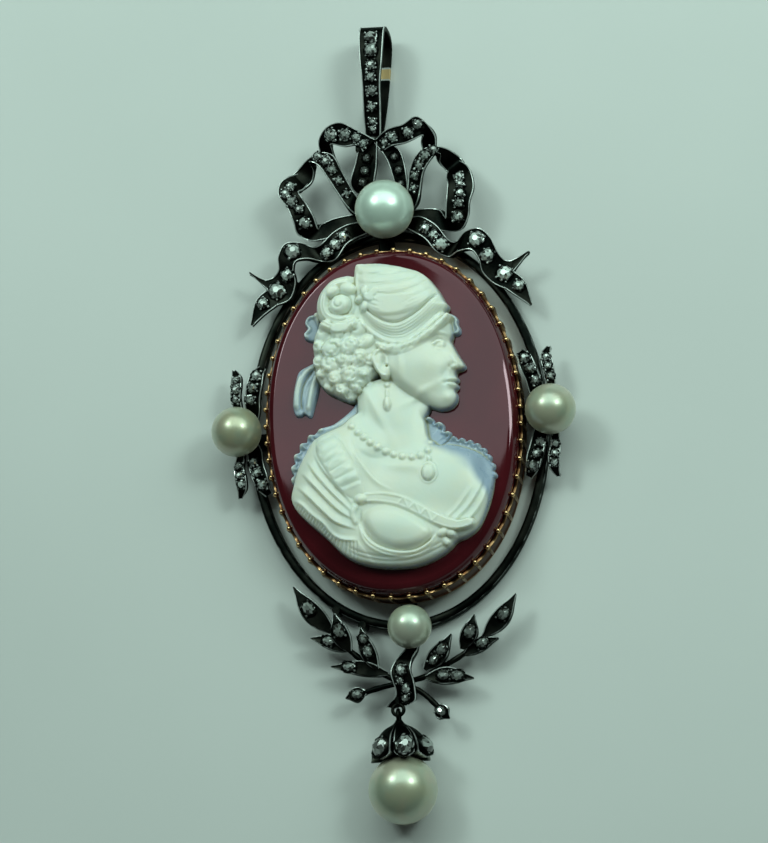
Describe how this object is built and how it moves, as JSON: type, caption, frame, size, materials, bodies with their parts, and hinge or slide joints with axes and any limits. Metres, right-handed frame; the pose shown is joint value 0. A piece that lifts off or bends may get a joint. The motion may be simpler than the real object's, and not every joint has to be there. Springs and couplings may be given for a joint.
{
  "type": "hardstone cameo pendant",
  "caption": "Oval hardstone cameo in a gold claw collet, hung in an oxidised silver frame of ribbons and sprays with diamonds, pearls, a hinged bail and a pearl drop.",
  "frame": {"origin": "middle of the collet's closed flat back, which the pendant lies on", "axes": "+Z out of the cameo's face, +Y from the cameo towards the bail, +X to the right of somebody facing the cameo"},
  "size_m": [0.0366, 0.0814, 0.0087],
  "materials": {
    "gold": "polished gold, darkened between the claws",
    "sard": "polished red-brown sard",
    "white_layer": "fine satin white layer of the sardonyx",
    "oxidised_silver": "blackened silver with bright worn edges",
    "nacre": "lustrous cream nacre",
    "diamond": "polished rose-cut facets"
  },
  "bodies": {
    "root": {"collet": "gold", "cameo_ground": "sard", "cameo_relief": "white_layer", "silver_frame": "oxidised_silver", "pearl_top": "nacre", "pearl_left": "nacre", "pearl_right": "nacre", "pearl_bottom": "nacre", "pearl_drop": "nacre", "drop_cap": "oxidised_silver", "bail_pin": "oxidised_silver", "bow_diamonds": "diamond", "tail_diamonds": "diamond", "scroll_diamonds": "diamond", "spray_diamonds": "diamond", "cap_diamonds": "diamond"},
    "bail": {"bail": "oxidised_silver", "bail_diamonds": "diamond"}
  },
  "joints": [
    {"name": "bail_hinge", "type": "hinge", "parent": "root", "child": "bail", "pos_m": [-0.0004, 0.0298, 0.0024], "axis": [0.9972, -0.075, 0], "range_deg": [-80, 20]}
  ]
}
